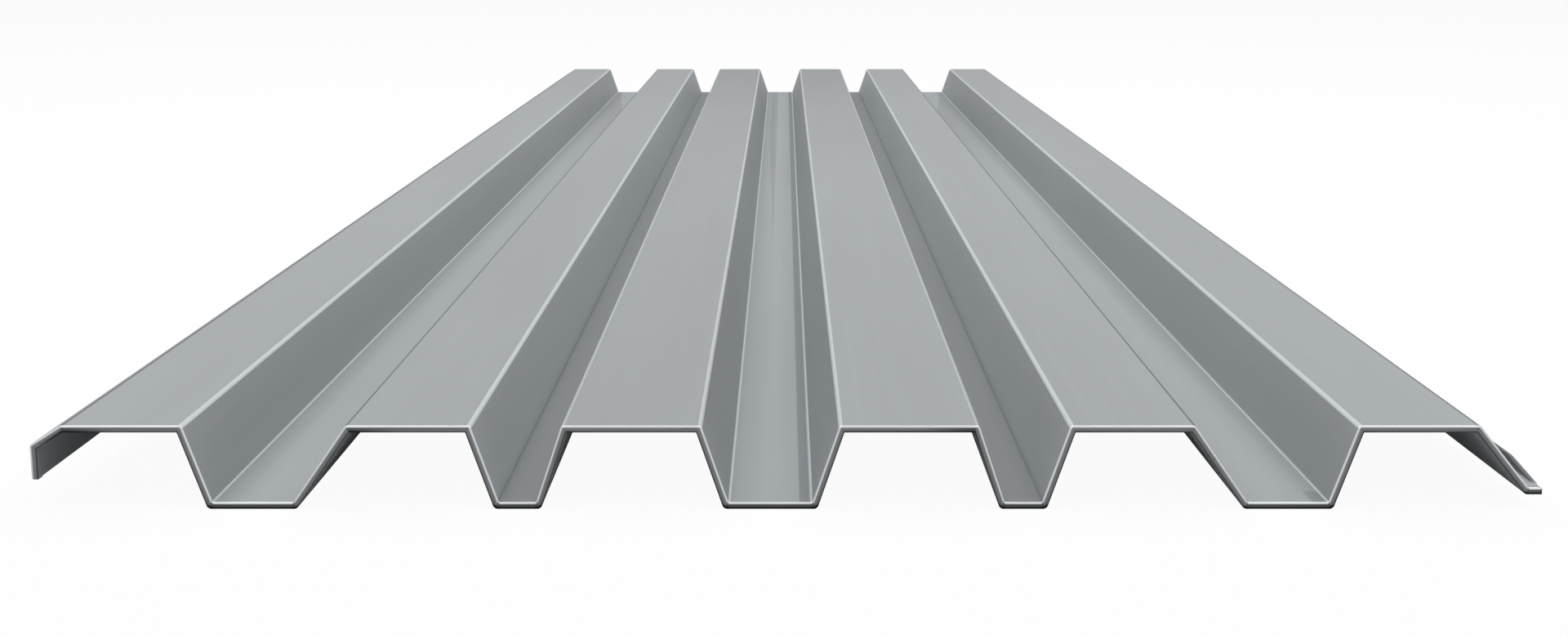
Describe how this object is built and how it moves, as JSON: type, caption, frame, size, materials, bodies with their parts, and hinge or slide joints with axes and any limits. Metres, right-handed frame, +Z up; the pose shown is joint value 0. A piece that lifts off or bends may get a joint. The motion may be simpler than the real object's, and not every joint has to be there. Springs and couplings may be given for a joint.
{
  "type": "corrugated metal sheet",
  "caption": "Heavy trapezoidal corrugated steel sheet with flat crests, narrow and wide troughs, and a formed lip along each long edge.",
  "frame": {"origin": "middle of the footprint, on the level that the trough undersides stand on", "axes": "+Y along the waves, +X across them from the hook lip to the seat lip, +Z up to the crests"},
  "size_m": [0.9, 3, 0.0512],
  "materials": {
    "sheet_steel": "satin mill-finished grey steel, fine lengthwise rolling marks, dressed ends"
  },
  "bodies": {
    "root": {"corrugated_sheet": "sheet_steel"}
  },
  "joints": []
}
